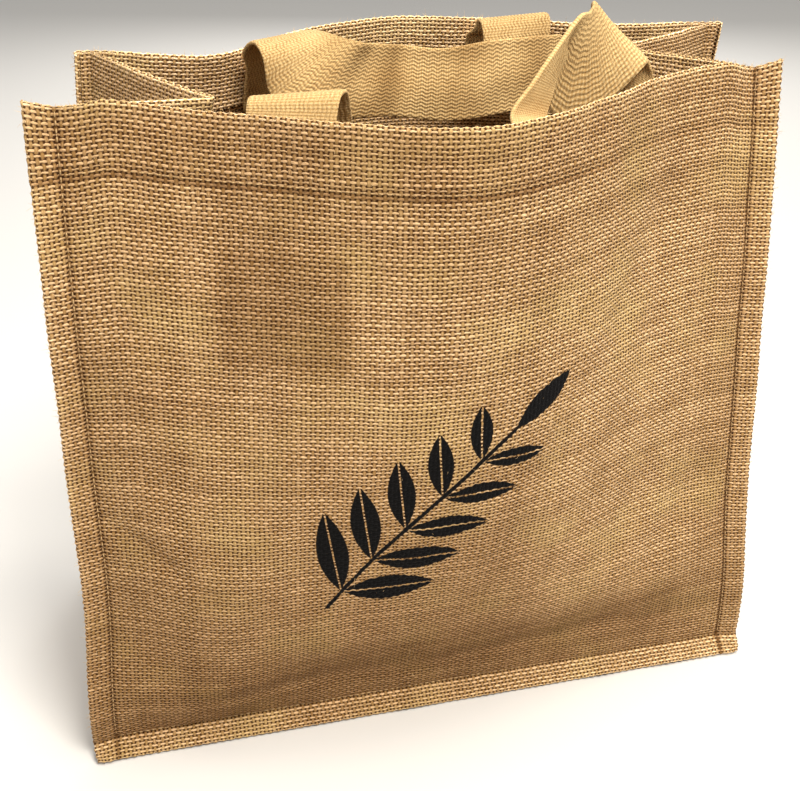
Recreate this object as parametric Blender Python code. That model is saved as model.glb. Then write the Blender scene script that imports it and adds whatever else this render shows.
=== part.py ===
"""Open burlap shopping bag with folded side gussets and two webbing handles.

The bag is made as it is sewn: a front panel, a back panel, one long strip that is
both side gussets and the base, and two webbing handles sewn inside the rim hem.
The panels and the strip meet in a lip that stands out along every seam.

Metres, +Z up, X across the bag, the front faces -Y. The bag stands on Z = 0.
Cloth coordinates: u runs across a panel from its left seam, h up from its bottom seam.
"""
import bmesh
import bpy
import numpy as np

MM = 0.001

# ---------------------------------------------------------------- driving sizes
PANEL_WIDTH = 0.374       # cloth between the left and right seams
PANEL_HEIGHT = 0.370      # cloth from the bottom seam to the rim
STRIP_WIDTH = 0.172       # cloth between the strip's two seams: the bag's depth
CLOTH = 0.002             # thickness of one layer of burlap
GAP = 0.0003              # air left between two pieces that touch
SEWN_GAP = 0.0006         # air left between a handle's sewn end and the curved hem
FRONT_LIP = 0.013         # seam lip of the front panel, past the stitch line
BACK_LIP = 0.009          # seam lip of the back panel
STRIP_INSET = 0.0015      # the strip's lip is this much narrower than the panel's
HEM = 0.031               # rim hem, turned to the inside
HEM_STEP = 0.003          # length over which the hem's second layer begins
HEM_EXTRA = 0.0018        # thickness that the hem's turned layer adds
HEM_START = 0.010         # the turned layer starts this far from a side seam
HEM_FULL = 0.020          # and has its full thickness here
SEAM_HEIGHT = 0.0115      # bottom stitch line above the floor
RIGHT_DROP = 0.009        # the front rim is sewn this much lower at its right end
CORNER_DROP = 0.0045      # the front rim dips this much at the side seams,
CORNER_DROP_RUN = 0.024   # from this far off,
LIP_RISE = 0.0045         # and the side lips' ends rise again at the rim
LIP_RISE_RUN = 0.030
WEBBING_WIDTH = 0.040
WEBBING = 0.0026          # thickness of the handle webbing
SEWN_FROM = 0.033         # a handle's end lies this far below the rim,
SEWN_TO = 0.008           # and the handle is free from here up,
SEWN_LIFT = 0.0009        # where it already stands off the hem by this much more

FRONT_SHIFT = -0.002      # sideways lean of the front rim
BACK_SHIFT = 0.0135       # sideways lean of the back rim
WAIST = 0.014             # share by which the slack cloth is drawn in low down,
WAIST_HEIGHT = 0.200      # over this height
BACK_SLACK = 0.024        # share by which fine ripples draw the back rim in

# directions in which the seam lips stand out: the part of a side lip's direction
# that points away from the bag's inside, at the bottom seam and at the rim
FRONT_LIP_TURN = (0.20, 0.34)
BACK_LIP_TURN = (0.10, 0.00)
BOTTOM_LIP_SLOPE = 0.70   # downward part of a bottom lip's direction
CORNER_ROUND = 0.35       # how far the lips' outermost corner is pulled in

# rows of the panels' depth tables: height above the bottom seam, then the panel's
# Y at seven even stations from the left seam to the right seam, all in millimetres
STATIONS = np.linspace(0.0, 1.0, 7)
FRONT_DEPTH = (
    # height, left, 1/6, 1/3, middle, 2/3, 5/6, right
    (0, 0, 0, 0, 0, 0, 0, 0),
    (28, -6, -14, -8, -9, -7, -5, -2),
    (63, -6, -23, -23, -22, -21, -15, -3),
    (118, -9, -33, -36, -39, -32, -14, 0),
    (187, -12, -33, -48, -53, -39, -13, 5),
    (280, -18, -32, -52, -60, -41, -9, 10),
    (370, -16, -31, -54, -64, -41, -7, 16),
)
BACK_DEPTH = (
    (0, 172, 172, 172, 172, 172, 172, 172),
    (28, 165, 172, 178, 180, 178, 172, 165),
    (63, 163, 169, 181, 186, 181, 171, 163),
    (118, 152, 154, 172, 182, 174, 160, 152),
    (187, 137, 134, 157, 170, 161, 144, 137),
    (280, 121, 112, 139, 157, 145, 125, 119),
    (370, 104, 93, 125, 145, 129, 107, 101),
)

# rows and columns of the panels' solids, in millimetres of cloth
ROWS = (0, 9, 19, 32, 48, 66, 90, 118, 150, 187, 228, 270, 309, 336, 339, 355, 370)
COLUMNS = (0, 10, 20, 33, 48, 64, 80, 96, 111, 126, 141, 156, 171, 187,
           203, 218, 233, 248, 263, 278, 294, 310, 326, 341, 354, 364, 374)

# the strip's body across its width: share of the way from one seam to the other
ACROSS = (0.03, 0.10, 0.20, 0.32, 0.43, 0.5, 0.57, 0.68, 0.80, 0.90, 0.97)
BASE_ACROSS = (0.04, 0.10, 0.17, 0.30, 0.42, 0.5, 0.58, 0.70, 0.83, 0.90, 0.96)
BASE_FLAT = 0.16          # share of the width over which the base comes down
CORNER_RUN = 0.034        # the base reaches the floor this far from a side seam
NOTCH_SHARE = 0.12        # share of the strip's lip left at a bottom corner
NOTCH_RUN = 0.020         # and the distance over which the lip widens
GUSSET_BOW = 0.004        # how far each half of a folded gusset bows
FOLD_RUN = 0.100          # a gusset is folded fully this far above the bottom seam
FOLD_DEPTH = {-1: 1.0, 1: 0.82}   # the right gusset is folded less deeply

# handles: where their ends are sewn (u of the centre line), and the folds between.
# One row for each fold or bend: the strap's two edges, x, y and z, in millimetres.
# The first edge is the left one at the left end.
FRONT_ENDS = (0.100, 0.223)
FRONT_FOLDS = (
    # left edge x, y, z, right edge x, y, z
    (-96, -31, 373, -59, -45, 373),
    (-95, -29, 377, -57, -43, 380),
    (-93, -22, 377, -53, -36, 381),
    (-91, -15, 366, -49, -26, 369),
    (-87, -8, 334, -46, -16, 328),
    (-64, -8, 290, -30, -20, 268),
    (-26, -14, 266, -10, -24, 230),
    (18, -12, 268, 26, -20, 230),
    (54, -2, 296, 82, 0, 268),
    (66, 2, 340, 100, 0, 322),
    (70, 5, 375, 106, 2, 358),
    (73, 4, 398, 106, 0, 372),
    (71, 0, 406, 101, -4, 379),
    (69, -6, 408, 97, -10, 379),
    (68, -9, 407, 84, -11, 367),
    (67, -10, 406, 72, -10, 357),
    (66, -11, 405, 56, -7, 354),
    (64, -12, 405, 48, -6, 366),
    (60, -15, 404, 51, -11, 384),
    (52, -21, 398, 53, -17, 387),
    (43, -28, 391, 49, -21, 381),
    (29, -38, 379, 44, -27, 372),
    (18, -46, 369, 41, -32, 361),
)
BACK_ENDS = (0.100, 0.2525)
BACK_FOLDS = (
    # left edge x, y, z, right edge x, y, z; then lower edge and upper edge
    (-83, 88, 373, -51, 112, 374),
    (-81, 83, 378, -48, 104, 379),
    (-78, 77, 380, -42, 94, 381),
    (-75, 70, 374, -36, 83, 381),
    (-72, 68, 355, -31, 77, 380),
    (-56, 67, 343, -24, 73, 379),
    (-30, 71, 340, -14, 77, 377),
    (-8, 77, 338, -2, 82, 375),
    (18, 73, 335, 20, 76, 373),
    (42, 74, 335, 44, 77, 375),
    (64, 80, 336, 66, 83, 375),
    (82, 88, 338, 84, 90, 374),
    (92, 96, 340, 96, 96, 372),
    (88, 101, 336, 98, 102, 366),
    (68, 103, 336, 95, 104, 360),
    (54, 104, 352, 91, 102, 364),
    (53, 106, 370, 90, 100, 374),
    (53, 112, 378, 90, 103, 382),
    (53, 119, 378, 89, 107, 382),
    (52, 122, 373, 89, 109, 376),
)
STEPS_PER_FOLD = 4        # sections of the webbing between two rows above
WEBBING_POINTS = 5        # points across the webbing

BURLAP = (0.44, 0.27, 0.13)
BURLAP_STRIP = (0.41, 0.25, 0.12)
WEBBING_COLOUR = (0.66, 0.44, 0.19)


# ---------------------------------------------------------------- mathematics
def smooth(stations, values, x):
    """Values at x on the smooth curve through the stations; values may have columns."""
    stations = np.asarray(stations, float)
    values = np.asarray(values, float)
    x = np.asarray(x, float)
    slopes = np.gradient(values, stations, axis=0)
    i = np.clip(np.searchsorted(stations, x, side="right") - 1, 0, len(stations) - 2)
    span = stations[i + 1] - stations[i]
    t = (x - stations[i]) / span
    if values.ndim > 1:
        span, t = span[:, None], t[:, None]
    rise = t * t * (3 - 2 * t)
    start = t * (1 - t) ** 2 * span
    end = t * t * (t - 1) * span
    return values[i] * (1 - rise) + values[i + 1] * rise + slopes[i] * start + slopes[i + 1] * end


def unit(vectors):
    """Vectors of length one."""
    return vectors / np.linalg.norm(vectors, axis=-1, keepdims=True)


def normals_of(grid):
    """Unit normals of a grid of points, from the directions along its rows and columns."""
    return unit(np.cross(np.gradient(grid, axis=1), np.gradient(grid, axis=0)))


def ease(x):
    """Smooth step from 0 to 1."""
    x = np.clip(x, 0.0, 1.0)
    return x * x * (3 - 2 * x)


# ---------------------------------------------------------------- the panels
def panel_surface(table, shift, drops, slack, rows, columns):
    """Middle of a panel's cloth at each row and column, without its lips.

    The table gives Y. The cloth doesn't stretch, so each step along a row or a
    column draws in by as much as it goes forward or back. drops are how much the
    rim is lower at its right end and at both corners.
    """
    table = np.asarray(table, float) * MM
    share = columns / PANEL_WIDTH
    edge = np.minimum(columns, PANEL_WIDTH - columns)
    by_row = smooth(table[:, 0], table[:, 1:], rows)
    y = np.array([smooth(STATIONS, depth, share) for depth in by_row])
    drop = drops[0] * share + drops[1] * ease(1 - edge / CORNER_DROP_RUN)
    up = np.diff(rows)[:, None] * (1 - drop / PANEL_HEIGHT)
    rise = np.sqrt(up ** 2 - np.diff(y, axis=0) ** 2)
    z = SEAM_HEIGHT + np.vstack([np.zeros(len(columns)), np.cumsum(rise, axis=0)])
    across = np.diff(columns)[None, :]
    run = np.sqrt(across ** 2 - np.diff(y, axis=1) ** 2 - np.diff(z, axis=1) ** 2)
    run *= 1 - WAIST * np.sin(np.pi * np.minimum(rows / WAIST_HEIGHT, 1))[:, None] ** 2
    run *= 1 - slack * ease(rows / PANEL_HEIGHT)[:, None]
    x = np.hstack([np.zeros((len(rows), 1)), np.cumsum(run, axis=1)])
    x += shift * (rows / PANEL_HEIGHT)[:, None] - x[:, -1:] / 2
    return np.stack([x, y, z], axis=-1)


def add_lips(body, facing, lip, turn, lip_rise, rows):
    """The panel's grid with two more rows and columns for its lips on three sides."""
    turned = np.interp(rows, (0, PANEL_HEIGHT), turn) * facing
    out = np.sqrt(1 - turned ** 2)
    aims = [np.stack([side * out, turned, 0 * out], axis=-1)[:, None] for side in (-1, 1)]
    rise = np.zeros((len(rows), 1, 3))
    rise[:, 0, 2] = lip_rise * ease((rows - PANEL_HEIGHT + LIP_RISE_RUN) / LIP_RISE_RUN)
    down = np.array([0.0, facing * np.sqrt(1 - BOTTOM_LIP_SLOPE ** 2), -BOTTOM_LIP_SLOPE])
    steps = (lip, lip / 2)
    left = [body[:, :1] + aims[0] * step + rise * step / lip for step in steps]
    right = [body[:, -1:] + aims[1] * step + rise * step / lip for step in reversed(steps)]
    wide = np.hstack([*left, body, *right])
    below = [wide[:1] + down * step for step in steps]
    return np.vstack([*below, wide])


def hem_extra(rows, columns):
    """Extra thickness of the turned hem at each row and column, lips included."""
    up = ease((rows - (PANEL_HEIGHT - HEM - HEM_STEP)) / HEM_STEP)
    edge = np.minimum(columns, PANEL_WIDTH - columns)
    across = ease((edge - HEM_START) / (HEM_FULL - HEM_START))
    return HEM_EXTRA * up[:, None] * across[None, :]


class Panel:
    """A panel's grid of mid-surface points, its outward normals and its hem."""

    def __init__(self, table, shift, drops, slack, facing, lip, turn, lip_rise):
        self.rows = np.array(ROWS) * MM
        self.columns = np.array(COLUMNS) * MM
        self.facing, self.lip = facing, lip
        body = panel_surface(table, shift, drops, slack, self.rows, self.columns)
        self.grid = add_lips(body, facing, lip, turn, lip_rise, self.rows)
        for corner, near in ((0, 1), (-1, -2)):
            outer, inner = self.grid[0, corner], self.grid[1, near]
            self.grid[0, corner] = outer + (inner - outer) * CORNER_ROUND
        self.outward = normals_of(self.grid) * (-facing)
        padded_rows = np.concatenate([[0, 0], self.rows])
        padded_columns = np.concatenate([[0, 0], self.columns, [PANEL_WIDTH] * 2])
        self.hem = hem_extra(padded_rows, padded_columns)

    def inside(self, u, h, distance):
        """Points at cloth places (u, h), moved into the bag by a distance."""
        row = min(np.searchsorted(self.rows, h, side="right"), len(self.rows) - 1) - 1
        share = (h - self.rows[row]) / (self.rows[row + 1] - self.rows[row])
        moved = self.grid - self.outward * distance
        body = moved[2:, 2:-2]
        line = body[row] * (1 - share) + body[row + 1] * share
        return np.stack([np.interp(u, self.columns, line[:, k]) for k in range(3)], axis=-1)


# ---------------------------------------------------------------- the strip
def seam_points(panel, row, column, lip_share):
    """The strip's lip and seam points that lie behind one point of a panel's seam.

    row and column are the seam point's place in the panel's grid. The points run
    from the lip's outer end to the stitch line. The seam is a fold, so the offset
    there is mitred to keep the strip's lip parallel to the panel's.
    """
    last = panel.grid.shape[1] - 1
    on_side = column in (2, last - 2)
    if on_side and row > 2:
        end_place = (row, 0 if column == 2 else last)
    elif on_side:
        end_place = (1, 1 if column == 2 else last - 1)
    else:
        end_place = (0, column)
    normal, end_normal = panel.outward[row, column], panel.outward[end_place]
    behind = CLOTH + GAP
    at = panel.grid[row, column] - normal * behind / np.dot(normal, end_normal)
    end = panel.grid[end_place] - end_normal * behind
    reach = lip_share * (1 - STRIP_INSET / panel.lip)
    return [at + (end - at) * reach, at + (end - at) * reach / 2, at]


def gusset_section(front, back, side, height):
    """Points of a folded gusset between its two seams at one height of the cloth."""
    middle = (front + back) / 2
    along = back - front
    inward = unit(np.array([-side * abs(along[1]), side * np.sign(along[1]) * along[0], 0.0]))
    half, held = STRIP_WIDTH / 2, np.linalg.norm(along) / 2
    depth = np.sqrt(max(half ** 2 - held ** 2, 0.0)) * ease(height / FOLD_RUN)
    depth *= FOLD_DEPTH[side]
    fold = middle + inward * depth
    bend = np.sqrt(max(1 - (held / half) ** 2, 0.0))
    points = []
    for share in ACROSS:
        start, t = (front, 2 * share) if share <= 0.5 else (back, 2 * (1 - share))
        bow = GUSSET_BOW * bend * np.sin(np.pi * t)
        points.append(start + (fold - start) * t - inward * bow)
    return points


def settle(front, back, column, side):
    """The body of a gusset, row by row from the bottom, with its cloth's true length.

    The thread up the fold slants as the fold draws in, so its end lies lower, and
    each half hangs straight between its seam and the fold.
    """
    seams = [(seam_points(front, row, column, 1)[-1], seam_points(back, row, column, 1)[-1])
             for row in range(2, 2 + len(ROWS))]
    body = np.array([gusset_section(*pair, side, row * MM) for pair, row in zip(seams, ROWS)])
    ends = np.array(seams)
    middle = len(ACROSS) // 2
    step = np.diff(ROWS) * MM
    slant = (np.diff(body[:, middle, :2], axis=0) ** 2).sum(axis=-1)
    rise = np.concatenate([[0], np.cumsum(np.sqrt(step ** 2 - slant))])
    fold = body[0, middle, 2] + rise
    for k, share in enumerate(ACROSS):
        seam, part = (ends[:, 0, 2], 2 * share) if share <= 0.5 else (ends[:, 1, 2], 2 - 2 * share)
        body[:, k, 2] = seam + (fold - seam) * part
    return body


def base_section(front, back, from_corner):
    """Points of the base between its two seams; it lies flat on the floor between."""
    points = []
    for share in BASE_ACROSS:
        place = front + (back - front) * share
        fall = ease(from_corner / CORNER_RUN) * ease(min(share, 1 - share) / BASE_FLAT)
        place[2] += (CLOTH / 2 - place[2]) * fall
        points.append(place)
    return points


def strip_grid(front, back):
    """The strip's mid-surface from the left rim, under the base, to the right rim."""
    count_rows, count_columns = front.grid.shape[:2]
    left, right = 2, count_columns - 3
    places = [(row, left, -1) for row in range(count_rows - 1, 1, -1)]
    places += [(2, column, 0) for column in range(left + 1, right)]
    places += [(row, right, 1) for row in range(2, count_rows)]
    grid, extra = [], []
    lines = [settle(front, back, column, side) for column, side in ((left, -1), (right, 1))]
    for row, column, side in places:
        corner_distance = ROWS[row - 2] * MM if side else min(
            COLUMNS[column - 2] * MM, PANEL_WIDTH - COLUMNS[column - 2] * MM)
        lip_share = min(1.0, NOTCH_SHARE + corner_distance / NOTCH_RUN)
        front_side = seam_points(front, row, column, lip_share)
        back_side = seam_points(back, row, column, lip_share)
        if side:
            body = lines[side > 0][row - 2]
        else:
            body = base_section(front_side[-1], back_side[-1], corner_distance)
        grid.append([*front_side, *body, *reversed(back_side)])
        up = ease((ROWS[row - 2] * MM - (PANEL_HEIGHT - HEM - HEM_STEP)) / HEM_STEP) if side else 0
        edge = np.minimum(ACROSS, 1 - np.array(ACROSS)) * STRIP_WIDTH
        thick = HEM_EXTRA * up * ease((edge - HEM_START) / (HEM_FULL - HEM_START))
        extra.append([0, 0, 0, *thick, 0, 0, 0])
    return np.array(grid), np.array(extra)


# ---------------------------------------------------------------- the handles
def webbing_grid(panel, ends, folds):
    """Mid-surface of a handle: sewn end, its folds, and the other sewn end."""
    across = np.linspace(-0.5, 0.5, WEBBING_POINTS) * WEBBING_WIDTH
    lying = CLOTH / 2 + HEM_EXTRA + SEWN_GAP + WEBBING / 2
    sewn = [(PANEL_HEIGHT - SEWN_FROM, lying), (PANEL_HEIGHT - (SEWN_FROM + SEWN_TO) / 2, lying),
            (PANEL_HEIGHT - SEWN_TO, lying + SEWN_LIFT)]
    first = [panel.inside(ends[0] + across, h, depth) for h, depth in sewn]
    last = [panel.inside(ends[1] + across[::-1], h, depth) for h, depth in reversed(sewn)]
    share = np.linspace(0, 1, WEBBING_POINTS)[:, None]
    edges = np.array(folds, float) * MM
    free = [row[:3] * (1 - share) + row[3:] * share for row in edges]
    if np.linalg.norm(last[0][0] - free[-1][0]) > np.linalg.norm(last[0][-1] - free[-1][0]):
        last = [row[::-1] for row in last]
    rows = np.array([*first, *free, *last])
    lengths = np.linalg.norm(np.diff(rows, axis=0), axis=-1).mean(axis=1)
    along = np.concatenate([[0], np.cumsum(lengths)])
    places = np.concatenate([
        np.linspace(along[i], along[i + 1], STEPS_PER_FOLD, endpoint=False)
        for i in range(len(along) - 1)] + [[along[-1]]])
    flat = smooth(along, rows.reshape(len(rows), -1), places)
    return flat.reshape(len(places), WEBBING_POINTS, 3)


# ---------------------------------------------------------------- solids
def material(name, colour, roughness):
    """A plain Principled material."""
    made = bpy.data.materials.new(name)
    made.use_nodes = True
    shader = made.node_tree.nodes["Principled BSDF"]
    shader.inputs["Base Color"].default_value = (*colour, 1.0)
    shader.inputs["Roughness"].default_value = roughness
    shader.inputs["Metallic"].default_value = 0.0
    return made


def sheet(name, grid, normals, above, below, finish, parent):
    """A closed sheet round a grid of mid-surface points, as thick as above + below."""
    mesh = bpy.data.meshes.new(name)
    bm = bmesh.new()
    count_rows, count_columns = grid.shape[:2]
    tops = grid + normals * np.broadcast_to(above, grid.shape[:2])[..., None]
    bottoms = grid - normals * np.broadcast_to(below, grid.shape[:2])[..., None]
    top = [[bm.verts.new(p) for p in row] for row in tops]
    bottom = [[bm.verts.new(p) for p in row] for row in bottoms]
    for i in range(count_rows - 1):
        for j in range(count_columns - 1):
            bm.faces.new((top[i][j], top[i][j + 1], top[i + 1][j + 1], top[i + 1][j]))
            bm.faces.new((bottom[i][j], bottom[i + 1][j], bottom[i + 1][j + 1], bottom[i][j + 1]))
    for i in range(count_rows - 1):
        for j in (0, count_columns - 1):
            bm.faces.new((top[i][j], top[i + 1][j], bottom[i + 1][j], bottom[i][j]))
    for j in range(count_columns - 1):
        for i in (0, count_rows - 1):
            bm.faces.new((top[i][j], top[i][j + 1], bottom[i][j + 1], bottom[i][j]))
    bmesh.ops.recalc_face_normals(bm, faces=bm.faces)
    bm.to_mesh(mesh)
    bm.free()
    mesh.materials.append(finish)
    mesh.shade_smooth()
    made = bpy.data.objects.new(name, mesh)
    bpy.context.scene.collection.objects.link(made)
    made.parent = parent
    return made


def build_panel(name, panel, finish, parent):
    """A panel's solid: one layer, two in the hem."""
    half = CLOTH / 2
    return sheet(name, panel.grid, panel.outward, half, half + panel.hem, finish, parent)


def build_strip(front, back, finish, parent):
    """The solid of the strip that is both gussets and the base."""
    grid, extra = strip_grid(front, back)
    normals = normals_of(grid)
    middle = grid.shape[1] // 2
    base_row = grid.shape[0] // 2
    if normals[base_row, middle, 2] > 0:
        normals = -normals
    flat = CLOTH / 2
    return sheet("side_strip", grid, normals, flat, flat + extra, finish, parent)


def build_handle(name, panel, ends, folds, finish, parent):
    """A handle's solid."""
    grid = webbing_grid(panel, ends, folds)
    return sheet(name, grid, normals_of(grid), WEBBING / 2, WEBBING / 2, finish, parent)


def centre_on_floor(parent, pieces):
    """Moves the whole bag so that its box is centred on X = Y = 0."""
    points = np.array([v.co for piece in pieces for v in piece.data.vertices])
    middle = (points.min(axis=0) + points.max(axis=0)) / 2
    parent.location = (-middle[0], -middle[1], -points[:, 2].min())


def main():
    for old in list(bpy.data.objects):
        bpy.data.objects.remove(old, do_unlink=True)
    bag = bpy.data.objects.new("bag", None)
    bpy.context.scene.collection.objects.link(bag)
    burlap = material("burlap", BURLAP, 0.95)
    burlap_strip = material("burlap_strip", BURLAP_STRIP, 0.95)
    cotton = material("webbing", WEBBING_COLOUR, 0.85)
    front = Panel(FRONT_DEPTH, FRONT_SHIFT, (RIGHT_DROP, CORNER_DROP), 0.0,
                  -1, FRONT_LIP, FRONT_LIP_TURN, LIP_RISE)
    back = Panel(BACK_DEPTH, BACK_SHIFT, (0.0, 0.0), BACK_SLACK,
                 1, BACK_LIP, BACK_LIP_TURN, 0.0)
    pieces = [
        build_panel("front_panel", front, burlap, bag),
        build_panel("back_panel", back, burlap, bag),
        build_strip(front, back, burlap_strip, bag),
        build_handle("handle_front", front, FRONT_ENDS, FRONT_FOLDS, cotton, bag),
        build_handle("handle_back", back, BACK_ENDS, BACK_FOLDS, cotton, bag),
    ]
    centre_on_floor(bag, pieces)


main()
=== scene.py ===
"""Looks of an open burlap shopping bag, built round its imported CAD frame.

The cloth is woven here yarn by yarn on the folds of the solids: each panel and the
gusset strip is one thin sheet with its weave in relief, rolled over at the rim and
turned inside as a hem. The handles are webbing with raised wavy ribs. Stitches and
loose fibres are pieces of their own.

Metres, +Z up, X across the bag, the front faces -Y.
Cloth coordinates: u runs across a panel from its left seam, h up from its bottom
seam. On the strip, w runs from the front seam to the back seam and l along it,
from the left rim under the base to the right rim.
"""

import bpy
import numpy as np
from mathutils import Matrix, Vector


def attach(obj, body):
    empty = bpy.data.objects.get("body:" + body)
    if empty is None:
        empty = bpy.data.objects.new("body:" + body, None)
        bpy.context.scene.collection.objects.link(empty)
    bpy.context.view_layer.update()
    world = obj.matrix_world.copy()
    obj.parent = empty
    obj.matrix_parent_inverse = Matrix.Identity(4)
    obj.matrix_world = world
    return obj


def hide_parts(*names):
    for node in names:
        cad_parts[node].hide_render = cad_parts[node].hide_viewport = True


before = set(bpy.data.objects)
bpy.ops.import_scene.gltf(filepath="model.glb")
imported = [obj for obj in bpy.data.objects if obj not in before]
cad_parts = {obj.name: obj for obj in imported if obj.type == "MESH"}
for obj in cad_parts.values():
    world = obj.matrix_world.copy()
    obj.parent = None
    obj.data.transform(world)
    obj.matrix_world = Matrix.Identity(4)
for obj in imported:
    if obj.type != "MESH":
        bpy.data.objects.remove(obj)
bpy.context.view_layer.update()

MM = 0.001
SEAM_Y = -0.06105         # the front bottom seam's place in the frame

# ---------------------------------------------------------------- sizes of the cloth
PANEL_WIDTH = 0.374
PANEL_HEIGHT = 0.370
STRIP_WIDTH = 0.172
CLOTH = 0.002             # thickness that the solids give one layer
GAP = 0.0003
FRONT_LIP = 0.013
BACK_LIP = 0.009
STRIP_INSET = 0.0015
HEM = 0.031
SEAM_HEIGHT = 0.0115
RIGHT_DROP = 0.009
CORNER_DROP = 0.0045
CORNER_DROP_RUN = 0.024
LIP_RISE = 0.0045
LIP_RISE_RUN = 0.030
WEBBING_WIDTH = 0.040
WEBBING = 0.0022          # thickness of the webbing, between its raised ribs
HEM_EXTRA = 0.0018
HEM_START = 0.010
HEM_FULL = 0.020
SEWN_GAP = 0.0006
SOLID_WEBBING = 0.0026
SEWN_FROM = 0.033
SEWN_TO = 0.008
SEWN_LIFT = 0.0009
FRONT_SHIFT = -0.002
BACK_SHIFT = 0.0135
WAIST = 0.014
WAIST_HEIGHT = 0.200
BACK_SLACK = 0.024
FRONT_LIP_TURN = (0.20, 0.34)
BACK_LIP_TURN = (0.10, 0.00)
BOTTOM_LIP_SLOPE = 0.70
CORNER_PULL = 0.175       # how far the lips' outermost corner is pulled in
BASE_FLAT = 0.16
CORNER_RUN = 0.034
NOTCH_SHARE = 0.12
NOTCH_RUN = 0.020
GUSSET_BOW = 0.004
FOLD_RUN = 0.100
FOLD_DEPTH = {-1: 1.0, 1: 0.82}
BASE_LOWEST = 0.0013      # the middle of the base's cloth is nowhere lower

STATIONS = np.linspace(0.0, 1.0, 7)
FRONT_DEPTH = (
    # height, left, 1/6, 1/3, middle, 2/3, 5/6, right
    (0, 0, 0, 0, 0, 0, 0, 0),
    (28, -6, -14, -8, -9, -7, -5, -2),
    (63, -6, -23, -23, -22, -21, -15, -3),
    (118, -9, -33, -36, -39, -32, -14, 0),
    (187, -12, -33, -48, -53, -39, -13, 5),
    (280, -18, -32, -52, -60, -41, -9, 10),
    (370, -16, -31, -54, -64, -41, -7, 16),
)
BACK_DEPTH = (
    (0, 172, 172, 172, 172, 172, 172, 172),
    (28, 165, 172, 178, 180, 178, 172, 165),
    (63, 163, 169, 181, 186, 181, 171, 163),
    (118, 152, 154, 172, 182, 174, 160, 152),
    (187, 137, 134, 157, 170, 161, 144, 137),
    (280, 121, 112, 139, 157, 145, 125, 119),
    (370, 104, 93, 125, 145, 129, 107, 101),
)
ROWS = (0, 9, 19, 32, 48, 66, 90, 118, 150, 187, 228, 270, 309, 336, 339, 355, 370)
COLUMNS = (0, 10, 20, 33, 48, 64, 80, 96, 111, 126, 141, 156, 171, 187,
           203, 218, 233, 248, 263, 278, 294, 310, 326, 341, 354, 364, 374)
ACROSS = (0.03, 0.10, 0.20, 0.32, 0.43, 0.5, 0.57, 0.68, 0.80, 0.90, 0.97)
BASE_ACROSS = (0.04, 0.10, 0.17, 0.30, 0.42, 0.5, 0.58, 0.70, 0.83, 0.90, 0.96)

# handles: the strap's two edges at each fold or bend, x, y and z in millimetres
FRONT_ENDS = (0.100, 0.223)
FRONT_FOLDS = (
    (-96, -31, 373, -59, -45, 373),
    (-95, -29, 377, -57, -43, 380),
    (-93, -22, 377, -53, -36, 381),
    (-91, -15, 366, -49, -26, 369),
    (-87, -8, 334, -46, -16, 328),
    (-64, -8, 290, -30, -20, 268),
    (-26, -14, 266, -10, -24, 230),
    (18, -12, 268, 26, -20, 230),
    (54, -2, 296, 82, 0, 268),
    (66, 2, 340, 100, 0, 322),
    (70, 5, 375, 106, 2, 358),
    (73, 4, 398, 106, 0, 372),
    (71, 0, 406, 101, -4, 379),
    (69, -6, 408, 97, -10, 379),
    (68, -9, 407, 84, -11, 367),
    (67, -10, 406, 72, -10, 357),
    (66, -11, 405, 56, -7, 354),
    (64, -12, 405, 48, -6, 366),
    (60, -15, 404, 51, -11, 384),
    (52, -21, 398, 53, -17, 387),
    (43, -28, 391, 49, -21, 381),
    (29, -38, 379, 44, -27, 372),
    (18, -46, 369, 41, -32, 361),
)
BACK_ENDS = (0.100, 0.2525)
BACK_FOLDS = (
    (-83, 88, 373, -51, 112, 374),
    (-81, 83, 378, -48, 104, 379),
    (-78, 77, 380, -42, 94, 381),
    (-75, 70, 374, -36, 83, 381),
    (-72, 68, 355, -31, 77, 380),
    (-56, 67, 343, -24, 73, 379),
    (-30, 71, 340, -14, 77, 377),
    (-8, 77, 338, -2, 82, 375),
    (18, 73, 335, 20, 76, 373),
    (42, 74, 335, 44, 77, 375),
    (64, 80, 336, 66, 83, 375),
    (82, 88, 338, 84, 90, 374),
    (92, 96, 340, 96, 96, 372),
    (88, 101, 336, 98, 102, 366),
    (68, 103, 336, 95, 104, 360),
    (54, 104, 352, 91, 102, 364),
    (53, 106, 370, 90, 100, 374),
    (53, 112, 378, 90, 103, 382),
    (53, 119, 378, 89, 107, 382),
    (52, 122, 373, 89, 109, 376),
)

# ---------------------------------------------------------------- the weave
WARP = 0.00228            # pitch of the upright yarns
WEFT = 0.0022             # pitch of the level yarns
RELIEF = 0.00036          # how far a yarn stands out where it crosses over another
EDGE_ROLL = 0.0014        # radius of the fold at a lip's outer edge
RIM_ROLL = 0.0011         # radius of the fold at the rim
RIM_ROLL_SEAM = 0.00055   # the same near the side seams, where the strip lies behind
OUTER = 0.0003            # the sheet lies this far outside the solid's middle
ROLL_STEPS = 6            # rows of the mesh round a fold
NEAR_FOLD = 0.3           # a flat row nearer a fold than this share of the pitch is left out

RIB = 0.0020              # spacing of the webbing's ribs
WAVE = 0.0052             # length of one wave of a rib
FRONT_WAVE = 0.15         # its height on each handle, as a share of the spacing
BACK_WAVE = 0.27
RIB_RELIEF = 0.00009

# unevenness pressed into the cloth: height, length of its waves, seed
YARN_UNEVEN = (0.0002, 0.009, 5)
FRONT_UNEVEN = (0.0006, 0.055, 3)
BACK_UNEVEN = (0.0008, 0.06, 8)
STRIP_UNEVEN = (0.0006, 0.05, 12)
STRAP_UNEVEN = (0.0009, 0.042, 55)

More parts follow.
